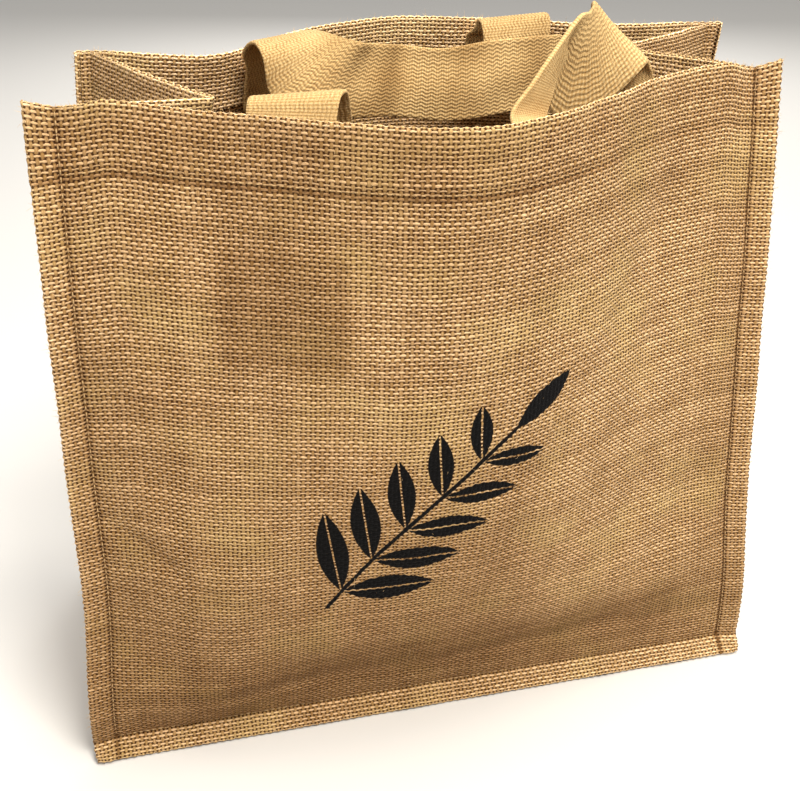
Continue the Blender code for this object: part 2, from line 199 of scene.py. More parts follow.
PANEL_DENT, PANEL_HEM_DENT = 0.0007, 0.0005   # depth of the sewn lines' dents
STRIP_DENT, STRIP_HEM_DENT = 0.0006, 0.0004
HEM_SEWN = 0.002          # the hem's stitches lie this far inside its edge
GROOVE_WIDTH = 0.0011     # width of a sewn line's dent
STITCH_SHADE = 0.0009     # width of the painted shade along a sewn line
HEM_SHADE = 0.0013        # width of the painted shade along the hem's edge
LIP_HIGHLIGHT = 0.30           # how much paler the painted highlight makes a lip's outer fold,
RIM_HIGHLIGHT = 0.60           # and the painted highlight on the fold at a rim
FIBRE_LOWEST = 0.0001     # loose fibres end this far above the floor

# the photograph's light and shade, painted as shares of the cloth's colour: soft rectangles on the
# front panel, u and h of two opposite corners, width of the soft edge (mm), share
FRONT_LIGHT_AND_SHADE = (
    # first two rows: painted shadow of something inside the bag, seen through the cloth; then painted shade
    # on the hem, the low part and the left; then painted light in the middle, at the right and on the hem
    # at the right
    (66, 250, 126, 310, 7, 0.76),
    (68, 306, 118, 340, 10, 0.90),
    (-20, 339, 394, 372, 3, 0.87),
    (40, 14, 345, 56, 26, 0.82),
    (-14, 60, 52, 250, 30, 0.93),
    (130, 200, 230, 290, 40, 1.10),
    (236, 60, 345, 300, 40, 1.18),
    (200, 325, 400, 420, 60, 1.16),
)
# faint creases of the front panel: u and h of both ends, width, depth (mm)
FRONT_CREASES = (
    (4, 156, 36, 133, 5, 1.0),
    (36, 133, 62, 112, 6, 0.8),
    (300, 60, 350, 130, 10, 1.2),
    (60, 30, 150, 22, 7, 1.4),
    (170, 20, 300, 34, 8, 1.4),
    (245, 180, 310, 300, 14, 1.2),
)


# ---------------------------------------------------------------- mathematics
def smooth(stations, values, x):
    """Values at x on the smooth curve through the stations; values may have columns."""
    stations = np.asarray(stations, float)
    values = np.asarray(values, float)
    x = np.clip(np.asarray(x, float), stations[0], stations[-1])
    slopes = np.gradient(values, stations, axis=0)
    i = np.clip(np.searchsorted(stations, x, side="right") - 1, 0, len(stations) - 2)
    span = stations[i + 1] - stations[i]
    t = (x - stations[i]) / span
    if values.ndim > 1:
        span, t = span[:, None], t[:, None]
    rise = t * t * (3 - 2 * t)
    start = t * (1 - t) ** 2 * span
    end = t * t * (t - 1) * span
    return values[i] * (1 - rise) + values[i + 1] * rise + slopes[i] * start + slopes[i + 1] * end


def on_grid(rows, columns, grid, u, v):
    """Points at every u and v of the smooth surface through a grid of points."""
    tall = smooth(rows, grid.reshape(len(rows), -1), v)
    turned = tall.reshape(len(v), -1, 3).transpose(1, 0, 2).reshape(len(columns), -1)
    return smooth(columns, turned, u).reshape(len(u), len(v), 3).transpose(1, 0, 2)


def unit(vectors):
    """Vectors of length one."""
    return vectors / np.maximum(np.linalg.norm(vectors, axis=-1, keepdims=True), 1e-12)


def normals_of(grid):
    """Unit normals of a grid of points, from the directions along its rows and columns."""
    return unit(np.cross(np.gradient(grid, axis=1), np.gradient(grid, axis=0)))


def ease(x):
    """Smooth step from 0 to 1."""
    x = np.clip(x, 0.0, 1.0)
    return x * x * (3 - 2 * x)


def bell(distance, width):
    """Soft bump: 1 at no distance, gone at a few widths."""
    return np.exp(-(distance / width) ** 2)


def ripple(x, y, seed):
    """Smooth unevenness from -1 to 1 over a plane, with waves of about one unit."""
    chance = np.random.default_rng(seed)
    total = 0.0
    for _ in range(9):
        angle, phase = chance.uniform(0, 2 * np.pi, 2)
        pace = chance.uniform(0.55, 1.8) * 2 * np.pi
        total = total + np.sin(pace * (x * np.cos(angle) + y * np.sin(angle)) + phase)
    return total / 4.5


def uneven(x, y, kind):
    """Unevenness of one kind: its height, the length of its waves and its seed."""
    height, size, seed = kind
    return height * ripple(x / size, y / size, seed)


# ---------------------------------------------------------------- form of the panels
def panel_surface(table, shift, drops, slack, rows, columns):
    """Middle of a panel's cloth at each row and column, without its lips."""
    table = np.asarray(table, float) * MM
    share = columns / PANEL_WIDTH
    edge = np.minimum(columns, PANEL_WIDTH - columns)
    by_row = smooth(table[:, 0], table[:, 1:], rows)
    y = np.array([smooth(STATIONS, depth, share) for depth in by_row])
    drop = drops[0] * share + drops[1] * ease(1 - edge / CORNER_DROP_RUN)
    up = np.diff(rows)[:, None] * (1 - drop / PANEL_HEIGHT)
    rise = np.sqrt(up ** 2 - np.diff(y, axis=0) ** 2)
    z = SEAM_HEIGHT + np.vstack([np.zeros(len(columns)), np.cumsum(rise, axis=0)])
    across = np.diff(columns)[None, :]
    run = np.sqrt(across ** 2 - np.diff(y, axis=1) ** 2 - np.diff(z, axis=1) ** 2)
    run *= 1 - WAIST * np.sin(np.pi * np.minimum(rows / WAIST_HEIGHT, 1))[:, None] ** 2
    run *= 1 - slack * ease(rows / PANEL_HEIGHT)[:, None]
    x = np.hstack([np.zeros((len(rows), 1)), np.cumsum(run, axis=1)])
    x += shift * (rows / PANEL_HEIGHT)[:, None] - x[:, -1:] / 2
    return np.stack([x, y + SEAM_Y, z], axis=-1)


class Panel:
    """A panel's form: its seams, its lips and any place on its cloth."""

    def __init__(self, table, shift, drops, slack, facing, lip, turn, lip_rise):
        self.rows = np.array(ROWS) * MM
        self.columns = np.array(COLUMNS) * MM
        self.facing, self.lip = facing, lip
        self.body = panel_surface(table, shift, drops, slack, self.rows, self.columns)
        turned = np.interp(self.rows, (0, PANEL_HEIGHT), turn) * facing
        out = np.sqrt(1 - turned ** 2)
        rise = lip_rise * ease((self.rows - PANEL_HEIGHT + LIP_RISE_RUN) / LIP_RISE_RUN)
        self.aims = [np.stack([side * out, turned, rise / lip], axis=-1) for side in (-1, 1)]
        self.down = np.array([0.0, facing * np.sqrt(1 - BOTTOM_LIP_SLOPE ** 2), -BOTTOM_LIP_SLOPE])
        steps = (lip, lip / 2)
        left = [self.body[:, :1] + self.aims[0][:, None] * step for step in steps]
        right = [self.body[:, -1:] + self.aims[1][:, None] * step for step in reversed(steps)]
        wide = np.hstack([*left, self.body, *right])
        self.grid = np.vstack([wide[:1] + self.down * lip, wide[:1] + self.down * lip / 2, wide])
        self.outward = normals_of(self.grid) * (-facing)

    def place(self, u, h):
        """Points of the cloth's middle at every u and h; outside the seams it is lip."""
        u, h = np.asarray(u, float), np.asarray(h, float)
        points = on_grid(self.rows, self.columns, self.body, u, h)
        aside = (np.maximum(-u, 0), np.maximum(u - PANEL_WIDTH, 0))
        below = np.maximum(-h, 0)[:, None, None]
        out = sum(smooth(self.rows, aim, h)[:, None] * far[None, :, None]
                  for aim, far in zip(self.aims, aside)) + below * self.down
        corner = ((aside[0] + aside[1])[None, :, None] * below / self.lip ** 2) ** 2
        return points + out * (1 - CORNER_PULL * np.minimum(corner, 1))


# ---------------------------------------------------------------- form of the strip
def seam_points(panel, row, column, lip_share):
    """The strip's lip end and seam point behind one point of a panel's seam."""
    last = panel.grid.shape[1] - 1
    on_side = column in (2, last - 2)
    if on_side and row > 2:
        end_place = (row, 0 if column == 2 else last)
    elif on_side:
        end_place = (1, 1 if column == 2 else last - 1)
    else:
        end_place = (0, column)
    normal, end_normal = panel.outward[row, column], panel.outward[end_place]
    behind = CLOTH + GAP
    at = panel.grid[row, column] - normal * behind / np.dot(normal, end_normal)
    end = panel.grid[end_place] - end_normal * behind
    reach = lip_share * (1 - STRIP_INSET / panel.lip)
    return at + (end - at) * reach, at


def gusset_section(front, back, side, height):
    """Points of a folded gusset between its two seams at one height of the cloth."""
    middle = (front + back) / 2
    along = back - front
    inward = unit(np.array([-side * abs(along[1]), side * np.sign(along[1]) * along[0], 0.0]))
    half, held = STRIP_WIDTH / 2, np.linalg.norm(along) / 2
    depth = np.sqrt(max(half ** 2 - held ** 2, 0.0)) * ease(height / FOLD_RUN)
    depth *= FOLD_DEPTH[side]
    fold = middle + inward * depth
    bend = np.sqrt(max(1 - (held / half) ** 2, 0.0))
    points = []
    for share in ACROSS:
        start, t = (front, 2 * share) if share <= 0.5 else (back, 2 * (1 - share))
        bow = GUSSET_BOW * bend * np.sin(np.pi * t)
        points.append(start + (fold - start) * t - inward * bow)
    return points


def settle(front, back, column, side):
    """The body of a gusset, row by row from the bottom, with its cloth's true length."""
    seams = [(seam_points(front, row, column, 1)[-1], seam_points(back, row, column, 1)[-1])
             for row in range(2, 2 + len(ROWS))]
    body = np.array([gusset_section(*pair, side, row * MM) for pair, row in zip(seams, ROWS)])
    ends = np.array(seams)
    middle = len(ACROSS) // 2
    step = np.diff(ROWS) * MM
    slant = (np.diff(body[:, middle, :2], axis=0) ** 2).sum(axis=-1)
    rise = np.concatenate([[0], np.cumsum(np.sqrt(step ** 2 - slant))])
    fold = body[0, middle, 2] + rise
    for k, share in enumerate(ACROSS):
        seam, part = (ends[:, 0, 2], 2 * share) if share <= 0.5 else (ends[:, 1, 2], 2 - 2 * share)
        body[:, k, 2] = seam + (fold - seam) * part
    return body


def base_section(front, back, from_corner):
    """Points of the base between its two seams; it lies flat on the floor between."""
    points = []
    for share in BASE_ACROSS:
        place = front + (back - front) * share
        fall = ease(from_corner / CORNER_RUN) * ease(min(share, 1 - share) / BASE_FLAT)
        place[2] += (CLOTH / 2 - place[2]) * fall
        points.append(place)
    return points


class Strip:
    """The strip's form: left gusset, base and right gusset in one length of cloth."""

    length = 2 * PANEL_HEIGHT + PANEL_WIDTH

    def __init__(self, front, back):
        count_rows, count_columns = front.grid.shape[:2]
        left, right = 2, count_columns - 3
        places = [(row, left, -1) for row in range(count_rows - 1, 1, -1)]
        places += [(2, column, 0) for column in range(left + 1, right)]
        places += [(row, right, 1) for row in range(2, count_rows)]
        lines = {side: settle(front, back, column, side) for column, side in ((left, -1), (right, 1))}
        self.lips = (front.lip - STRIP_INSET, back.lip - STRIP_INSET)
        self.along, self.sections, self.shares, self.ends = [], [], [], []
        for row, column, side in places:
            height, across = ROWS[row - 2] * MM, COLUMNS[column - 2] * MM
            corner_distance = height if side else min(across, PANEL_WIDTH - across)
            lip_share = min(1.0, NOTCH_SHARE + corner_distance / NOTCH_RUN)
            tips, seams = zip(*(seam_points(panel, row, column, lip_share) for panel in (front, back)))
            body = lines[side][row - 2] if side else base_section(*seams, corner_distance)
            self.along.append({-1: PANEL_HEIGHT - height, 0: PANEL_HEIGHT + across,
                               1: PANEL_HEIGHT + PANEL_WIDTH + height}[side])
            self.sections.append(np.array([seams[0], *body, seams[1]]))
            self.shares.append(np.array([0, *(ACROSS if side else BASE_ACROSS), 1]))
            self.ends.append([(tip - seam) / lip for tip, seam, lip in zip(tips, seams, self.lips)])
        self.along = np.array(self.along)
        self.ends = np.array(self.ends)

    def place(self, w, l):
        """Points of the strip's middle at every w and l."""
        w, l = np.asarray(w, float), np.asarray(l, float)
        share = np.clip(w / STRIP_WIDTH, 0, 1)
        near = share <= 0.5
        rows = np.zeros((len(self.along), len(w), 3))
        for k, (section, shares) in enumerate(zip(self.sections, self.shares)):
            middle = len(shares) // 2
            rows[k, near] = smooth(shares[:middle + 1], section[:middle + 1], share[near])
            rows[k, ~near] = smooth(shares[middle:], section[middle:], share[~near])
        points = smooth(self.along, rows.reshape(len(rows), -1), l).reshape(len(l), len(w), 3)
        points[..., 2] = np.maximum(points[..., 2], BASE_LOWEST)
        aside = (np.maximum(-w, 0), np.maximum(w - STRIP_WIDTH, 0))
        ends = smooth(self.along, self.ends.reshape(len(self.along), -1), l).reshape(len(l), 2, 3)
        return points + sum(ends[:, k][:, None] * aside[k][None, :, None] for k in (0, 1))


def tangents(place, u, v, step=0.0004):
    """Unit directions across and along the cloth, and its normal, at every u and v."""
    u, v = np.asarray(u, float), np.asarray(v, float)
    across = place(u + step, v) - place(u - step, v)
    along = place(u, v + step) - place(u, v - step)
    return unit(across), unit(along), unit(np.cross(across, along))


# ---------------------------------------------------------------- meshes
def object_from(name, points, faces, slot, cloth=None, shade=None):
    """A mesh piece, with cloth coordinates and tones kept as attributes."""
    mesh = bpy.data.meshes.new(name)
    mesh.from_pydata(np.asarray(points).tolist(), [], faces)
    for title, values in (("cloth", cloth), ("shade", shade)):
        if values is None:
            continue
        kind = "FLOAT" if values.ndim == 1 else "FLOAT_VECTOR"
        field = mesh.attributes.new(title, kind, "POINT")
        field.data.foreach_set("value" if values.ndim == 1 else "vector", values.astype(np.float32).ravel())
    mesh.shade_smooth()
    mesh.update()
    made = bpy.data.objects.new(name, mesh)
    bpy.context.scene.collection.objects.link(made)
    made["slot"] = slot
    return made


def woven_faces(rows, columns, outward):
    """Four triangles for each opening between yarns, round the opening's middle."""
    node = np.arange(rows * columns).reshape(rows, columns)
    hole = rows * columns + np.arange((rows - 1) * (columns - 1)).reshape(rows - 1, columns - 1)
    a, b, c, d = node[:-1, :-1], node[:-1, 1:], node[1:, 1:], node[1:, :-1]
    faces = [np.stack([x, y, hole], axis=-1).reshape(-1, 3) for x, y in ((a, b), (b, c), (c, d), (d, a))]
    faces = np.concatenate(faces)
    return (faces if outward > 0 else faces[:, ::-1]).tolist()


class Edge:
    """Stations along one direction of the cloth: flat, then round a fold, then behind.

    at is where the form is looked up, turn the angle round the fold, far the
    distance of the cloth coordinate, and end which end's fold it is.
    """

    def __init__(self, low, high, pitch, low_fold, high_fold, low_back, high_back):
        first, last = int(np.ceil(low / pitch)), int(np.floor(high / pitch))
        rows = [(k * pitch, 0.0, 0, k * pitch) for k in range(first, last + 1)]
        for sign, limit, fold, back in ((1, high, high_fold, high_back), (-1, low, low_fold, low_back)):
            if not fold:
                continue
            start, end = limit + sign * fold * np.pi, -1 if sign > 0 else 0
            more = [(limit, angle, sign, limit + sign * fold * angle)
                    for angle in np.linspace(0, np.pi, ROLL_STEPS + 1)]
            more += [(limit - sign * k * pitch, np.pi, sign, start + sign * k * pitch)
                     for k in range(1, int(back / pitch) + 1)]
            if abs(limit - rows[end][0]) < NEAR_FOLD * pitch:
                rows.pop(end)
            rows = rows + more if sign > 0 else more[::-1] + rows
        self.at, self.turn, self.end, self.far = map(np.array, zip(*rows))


def middles(grid):
    """Mean of the four neighbours round each opening of a grid."""
    return (grid[:-1, :-1] + grid[1:, :-1] + grid[:-1, 1:] + grid[1:, 1:]) / 4


def weave(name, form, across, along, facing, rolls, slot, extra, tone):
    """One sheet of cloth on a form, with its yarns in relief and its edges rolled.

    rolls gives the fold's radius at the sides and, for each column, at the ends.
    extra gives a further push outwards in metres, and tone the shade, at each place.
    """
    base = form.place(across.at, along.at)
    side, up, normal = tangents(form.place, across.at, along.at)
    normal = normal * facing
    side_roll, end_roll = rolls
    turn_u, turn_v = across.turn[None, :, None], along.turn[:, None, None]
    end_roll = np.asarray(end_roll)[:, :, None]
    points = base + normal * OUTER
    points += side * (across.end * np.sin(across.turn) * side_roll)[None, :, None]
    points -= normal * (1 - np.cos(turn_u)) * side_roll
    points += up * (along.end[:, None, None] * np.sin(turn_v)) * end_roll
    points -= normal * (1 - np.cos(turn_v)) * end_roll
    facing_out = np.cos(turn_u) * np.cos(turn_v)
    leaning = side * (across.end * np.sin(across.turn))[None, :, None]
    leaning = leaning + up * (along.end * np.sin(along.turn))[:, None, None]
    thrust = unit(normal * np.where(np.abs(facing_out) < 1e-6, 1e-6, facing_out) + leaning)
    s, t = np.meshgrid(across.far / WARP, along.far / WEFT)
    relief = RELIEF * np.cos(np.pi * s) * np.cos(np.pi * t)
    u, v = np.meshgrid(across.at, along.at)
    lift = extra(u, v) + uneven(u, v, YARN_UNEVEN)
    centres = middles(points)
    points = points + thrust * relief[..., None] + normal * lift[..., None]
    middle_lift = (lift[:-1, :-1] + lift[1:, 1:]) / 2
    centres = centres + normal[:-1, :-1] * middle_lift[..., None]
    shade = tone(*np.meshgrid(across.far, along.far))
    fields = []
    for grid in (s, t, shade):
        fields.append(np.concatenate([grid.ravel(), middles(grid).ravel()]))
    cloth = np.stack([fields[0], fields[1], np.zeros(len(fields[0]))], axis=-1)
    everything = np.concatenate([points.reshape(-1, 3), centres.reshape(-1, 3)])
    faces = woven_faces(*points.shape[:2], facing)
    return object_from(name, everything, faces, slot, cloth, fields[2])


def segment_distance(u, h, row):
    """Distance of cloth places from a segment, both in metres."""
    a, b = np.array(row[:2]) * MM, np.array(row[2:4]) * MM
    along = b - a
    share = np.clip(((u - a[0]) * along[0] + (h - a[1]) * along[1]) / (along @ along), 0, 1)
    return np.hypot(u - a[0] - share * along[0], h - a[1] - share * along[1])


def soft_box(u, h, row):
    """1 inside a soft rectangle given in millimetres, 0 outside it."""
    soft = row[4] * MM
    inside = ease((u - row[0] * MM) / soft + 0.5) * ease((row[2] * MM - u) / soft + 0.5)
    return inside * ease((h - row[1] * MM) / soft + 0.5) * ease((row[3] * MM - h) / soft + 0.5)


def groove(distance, depth):
    """A sewn line's dent."""
    return -depth * bell(distance, GROOVE_WIDTH)


def seam_grooves(u, h):
    """Dents along a panel's side, bottom and hem stitching."""
    lines = (np.abs(u), np.abs(u - PANEL_WIDTH), np.abs(h))
    total = sum(groove(line, PANEL_DENT) for line in lines)
    return total + groove(np.abs(h - (PANEL_HEIGHT - HEM + HEM_SEWN)), PANEL_HEM_DENT)


def front_lift(u, h):
    """Dents, ripples and faint creases of the front panel."""
    total = seam_grooves(u, h) + uneven(u, h, FRONT_UNEVEN)
    for row in FRONT_CREASES:
        total = total - row[5] * MM * bell(segment_distance(u, h, row), row[4] * MM)
    return total


def back_lift(u, h):
    """Dents and ripples of the back panel."""
    return seam_grooves(u, h) + uneven(u, h, BACK_UNEVEN)


def strip_lift(w, l):
    """Dents of the strip, and ripples in its gussets alone."""
    sides = groove(np.abs(w), STRIP_DENT) + groove(np.abs(w - STRIP_WIDTH), STRIP_DENT)
    rims = np.minimum(l, Strip.length - l)
    away = ease(np.minimum(np.abs(l - PANEL_HEIGHT), np.abs(l - PANEL_HEIGHT - PANEL_WIDTH)) / 0.03)
    on_base = (l > PANEL_HEIGHT) & (l < PANEL_HEIGHT + PANEL_WIDTH)
    ripples = uneven(w, l, STRIP_UNEVEN) * np.where(on_base, 0, away)
    return sides + groove(np.abs(rims - HEM + HEM_SEWN), STRIP_HEM_DENT) + ripples


def blotches(u, h, share, seed):
    """The cloth's uneven tone, in large patches and small ones."""
    return 1 + share * ripple(u / 0.05, h / 0.04, seed) + 0.03 * ripple(u / 0.012, h / 0.02, seed + 1)


def painted_edge_light(u, h, lip, share):
    """Painted light: the lips are painted a little paler than the panel, their outer folds get a painted
    highlight, and the rim its own.
    """
    out = np.maximum(np.maximum(-u, u - PANEL_WIDTH), -h)
    # painted highlight on the lip's rolled outer fold
    wear_and_highlight = LIP_HIGHLIGHT * bell(out - lip, EDGE_ROLL)
    return (1 + share * ease(out / 0.004) + wear_and_highlight) * painted_rim_light(h - PANEL_HEIGHT)


def painted_rim_light(past):
    """Painted light at a rim: a painted highlight on the fold, and the turned hem inside painted paler than
    the panel.

    past is the distance beyond the fold's start.
    """
    return 1 + RIM_HIGHLIGHT * bell(past - RIM_ROLL, 0.0020) + 0.20 * ease((past - 0.002) / 0.002)


def sewn_line_shade(distance, depth=0.42):
    """Painted shade in the dent along a sewn line."""
    return 1 - depth * bell(distance, STITCH_SHADE)


def front_tone(u, h):
    """Tone of the front panel: blotches with painted light and shade laid over them; the painted shade at
    the hem's edge and over the low part is darkest at the left, and the bottom lip is painted lighter.
    """
    shade = blotches(u, h, 0.07, 21)
    for row in FRONT_LIGHT_AND_SHADE:
        shade = shade * (1 + (row[5] - 1) * soft_box(u, h, row))
    # painted shade along the side and bottom seams
    for line, depth in ((np.abs(u), 0.50), (np.abs(u - PANEL_WIDTH), 0.72), (np.abs(h), 0.42)):
        shade = shade * sewn_line_shade(line, depth)
    # painted shade along the hem's edge, darkest at the left
    hem_edge_shade = 0.52 - 0.32 * ease((u - 0.20) / 0.10)
    shade = shade * (1 - hem_edge_shade * bell(h - (PANEL_HEIGHT - HEM), HEM_SHADE))
    # painted shade over the low part, darkest at the left, and painted light on the bottom lip
    low = 0.32 - 0.16 * ease((u - 0.18) / 0.12)
    under = (0.97 - low * (1 - ease((h + 0.02) / 0.22))) * (1 + 0.34 * ease((0.001 - h) / 0.002))
    return shade * painted_edge_light(u, h, FRONT_LIP, 0.08) * under


def back_tone(u, h):
    """Tone of the back panel: blotches, painted shade along the sewn lines, and painted light over the
    whole panel and more on the hem turned inside.
    """
    shade = blotches(u, h, 0.07, 31)
    for line in (np.abs(u), np.abs(u - PANEL_WIDTH), np.abs(h)):
        shade = shade * sewn_line_shade(line)
    # painted light: the whole panel brighter, the turned hem more so
    return (1.12 + 0.16 * ease((h - PANEL_HEIGHT) / 0.003)) * shade * painted_edge_light(u, h, BACK_LIP, 0.06)


def strip_tone(w, l):
    """Tone of the strip: blotches, painted shade along the sewn lines, and painted light over the whole
    strip and at both rims.
    """
    shade = blotches(w, l, 0.06, 41)
    for line in (np.abs(w), np.abs(w - STRIP_WIDTH)):
        shade = shade * sewn_line_shade(line)
    # painted light over the whole strip and at both rims
    return 1.12 * shade * painted_rim_light(-l) * painted_rim_light(l - Strip.length)


def hem_rolls(distance, rows):
    """Fold radius at the rim for each row and column: less near the side seams."""
    full = ease((distance - HEM_START) / (HEM_FULL - HEM_START))
    radius = RIM_ROLL_SEAM + (RIM_ROLL - RIM_ROLL_SEAM) * full
    return np.repeat(radius[None, :], rows, axis=0)


def panel_cloth(name, panel, lift, tone):
    """The sheet of one panel: lips rolled at their outer edge, hem turned inside."""
    lip = panel.lip - EDGE_ROLL
    across = Edge(-lip, PANEL_WIDTH + lip, WARP, EDGE_ROLL, EDGE_ROLL, 0, 0)
    along = Edge(-lip, PANEL_HEIGHT, WEFT, EDGE_ROLL, RIM_ROLL, 0, HEM)
    edge = np.minimum(across.at, PANEL_WIDTH - across.at)
    ends = hem_rolls(edge, len(along.at))
    ends[along.end < 0] = EDGE_ROLL
    return weave(name, panel, across, along, -panel.facing, (EDGE_ROLL, ends), "burlap", lift, tone)


def strip_cloth(form):
    """The sheet of the strip, its hem turned inside at both rims."""
    across = Edge(-form.lips[0], STRIP_WIDTH + form.lips[1], WARP, 0, 0, 0, 0)
    along = Edge(0, form.length, WEFT, RIM_ROLL, RIM_ROLL, HEM, HEM)
    ends = hem_rolls(np.minimum(across.at, STRIP_WIDTH - across.at), len(along.at))
    return weave("strip_cloth", form, across, along, 1, (EDGE_ROLL, ends), "burlap_strip",
                 strip_lift, strip_tone)


# ---------------------------------------------------------------- the webbing
STRAP_EDGE = 0.0012       # the strap thins over this much at its selvedges
STRAP_STEP = 0.0011       # steps of the mesh along the strap
STRAP_COLUMNS = 64
STRAP_POINTS = 5          # points across the strap that its form goes through
CREASE_WIDTH = 0.010
# soft creases of the back strap: the row they lie by, distance past it, depth, and the share of colour
# painted on it, below 1 as shade and above 1 as light
BACK_CREASES = (
    (8, 0.002, 0.0006, 0.90),
    (9, 0.014, 0.0018, 0.70),
    (10, 0.014, -0.0012, 1.12),
    (11, 0.012, 0.0010, 0.82),
    (12, 0.010, -0.0008, 1.08),
    (13, 0.012, 0.0010, 0.78),
)


class Strap:
    """A handle's form: its middle at any share across and length along."""

    def __init__(self, panel, ends, folds):
        across = np.linspace(-0.5, 0.5, STRAP_POINTS) * WEBBING_WIDTH
        lying = CLOTH / 2 + HEM_EXTRA + SEWN_GAP + SOLID_WEBBING / 2
        sewn = [(PANEL_HEIGHT - SEWN_FROM, lying), (PANEL_HEIGHT - (SEWN_FROM + SEWN_TO) / 2, lying),
                (PANEL_HEIGHT - SEWN_TO, lying + SEWN_LIFT)]
        first = [self.behind(panel, ends[0] + across, h, depth) for h, depth in sewn]
        last = [self.behind(panel, ends[1] + across[::-1], h, depth) for h, depth in reversed(sewn)]
        share = np.linspace(0, 1, STRAP_POINTS)[:, None]
        edges = np.array(folds, float) * MM
        edges[:, [1, 4]] += SEAM_Y
        free = [row[:3] * (1 - share) + row[3:] * share for row in edges]
        if np.linalg.norm(last[0][0] - free[-1][0]) > np.linalg.norm(last[0][-1] - free[-1][0]):
            last = [row[::-1] for row in last]
        self.rows = np.array([*first, *free, *last])
        lengths = np.linalg.norm(np.diff(self.rows, axis=0), axis=-1).mean(axis=1)
        self.along = np.concatenate([[0], np.cumsum(lengths)])
        self.length = self.along[-1]

    @staticmethod
    def behind(panel, u, h, depth):
        """Places behind the panel's cloth, on the inside of the bag."""
        normal = tangents(panel.place, u, [h])[2][0] * -panel.facing
        return panel.place(u, [h])[0] - normal * depth

    def place(self, a, l):
        """Points of the strap's middle at every share across and length along."""
        return on_grid(self.along, np.linspace(-0.5, 0.5, STRAP_POINTS), self.rows, a, l)


def strap_piece(name, form, wave_height, tone, creases):
    """The strap as a closed flat tube with wavy ribs along it and soft creases across."""
    inner = 0.5 - STRAP_EDGE / WEBBING_WIDTH
    bend = np.linspace(0, np.pi / 2, 4)[1:]
    rim = inner + (0.5 - inner) * np.sin(bend)
    a = np.concatenate([-rim[::-1], np.linspace(-inner, inner, STRAP_COLUMNS), rim])
    full = np.concatenate([np.cos(bend[::-1]), np.ones(STRAP_COLUMNS), np.cos(bend)])
    l = np.linspace(0, form.length, int(form.length / STRAP_STEP))
    middle = form.place(a, l)
    free = ease((l - 0.06) / 0.04) * ease((form.length - 0.06 - l) / 0.04)
    wave = uneven(*np.meshgrid(a * WEBBING_WIDTH, l), STRAP_UNEVEN)
    for row, aside, height, _ in creases:
        wave -= height * bell(l - form.along[row] - aside, CREASE_WIDTH)[:, None]
    normal = unit(np.cross(np.gradient(middle, axis=1), np.gradient(middle, axis=0)))
    middle = middle + normal * (wave * free[:, None])[..., None]
    s, t = np.meshgrid(a * WEBBING_WIDTH / RIB, l / WAVE)
    phase = s + wave_height * np.sin(2 * np.pi * t)
    wide = np.linalg.norm(middle[:, -1] - middle[:, 0], axis=-1) / WEBBING_WIDTH
    relief = RIB_RELIEF * np.cos(2 * np.pi * phase) * (np.clip(wide, 0, 1) ** 2)[:, None]
    half = WEBBING / 2 * full[None, :]
    top = middle + normal * (half + relief * full)[..., None]
    bottom = middle - normal * (half + relief * full)[..., None]
    ring = np.concatenate([top, bottom[:, -2:0:-1]], axis=1)
    rows, count = ring.shape[:2]
    node = np.arange(rows * count).reshape(rows, count)
    after = np.roll(node, -1, axis=1)
    walls = np.stack([node[:-1], after[:-1], after[1:], node[1:]], axis=-1).reshape(-1, 4)
    faces = walls.tolist() + [node[0, ::-1].tolist(), node[-1].tolist()]
    fields = [np.concatenate([grid, grid[:, -2:0:-1]], axis=1).ravel() for grid in (s, t, tone(a, l))]
    cloth = np.stack([fields[0], fields[1], np.full(len(fields[0]), wave_height)], axis=-1)
    return object_from(name, ring.reshape(-1, 3), faces, "webbing", cloth, fields[2])


def strap_tone(form, creases, level, seed):
    """The webbing's tones: soft blotches, and painted shade and light at each crease."""
    def tone(a, l):
        shade = level + uneven(*np.meshgrid(a * WEBBING_WIDTH, l), (0.09, 0.04, seed))
        for row, aside, _, share in creases:
            shade *= 1 + (share - 1) * bell(l - form.along[row] - aside, CREASE_WIDTH)[:, None]
        return shade
    return tone


# ---------------------------------------------------------------- stitches and fibres
STITCH_PITCH = 0.0036
STITCH_LENGTH = 0.0026
STITCH_RADIUS = 0.00034
STITCH_SIDES = 5
STITCH_HEIGHT = OUTER + 0.0002


def stitches(name, lines, slot):
    """Short raised threads along lines; a line is (form, u, v, facing, height)."""
    turn = np.arange(STITCH_SIDES) * 2 * np.pi / STITCH_SIDES
    stations = ((-0.5, 0.35, -1.0), (-0.22, 1.0, 0.0), (0.22, 1.0, 0.0), (0.5, 0.35, -1.0))
    points, faces = [], []
    for form, us, vs, facing, height in lines:
        side, up, normal = (grid.reshape(-1, 3) for grid in tangents(form.place, us, vs))
        normal = normal * facing
        along = side if len(us) > len(vs) else up
        centre = form.place(us, vs).reshape(-1, 3) + normal * height
        across = np.cross(along, normal)
        rings = []
        for far, width, sink in stations:
            middle = centre + along * far * STITCH_LENGTH + normal * sink * STITCH_RADIUS
            reach = across[:, None] * np.cos(turn)[:, None] + normal[:, None] * np.sin(turn)[:, None]
            rings.append(middle[:, None] + reach * STITCH_RADIUS * width)
        first = sum(map(len, points))
        points.append(np.stack(rings, axis=1).reshape(-1, 3))
        for start in range(first, first + len(centre) * len(stations) * STITCH_SIDES,
                           len(stations) * STITCH_SIDES):
            faces.extend(tube_faces(start, len(stations), STITCH_SIDES))
    return object_from(name, np.concatenate(points), faces, slot)


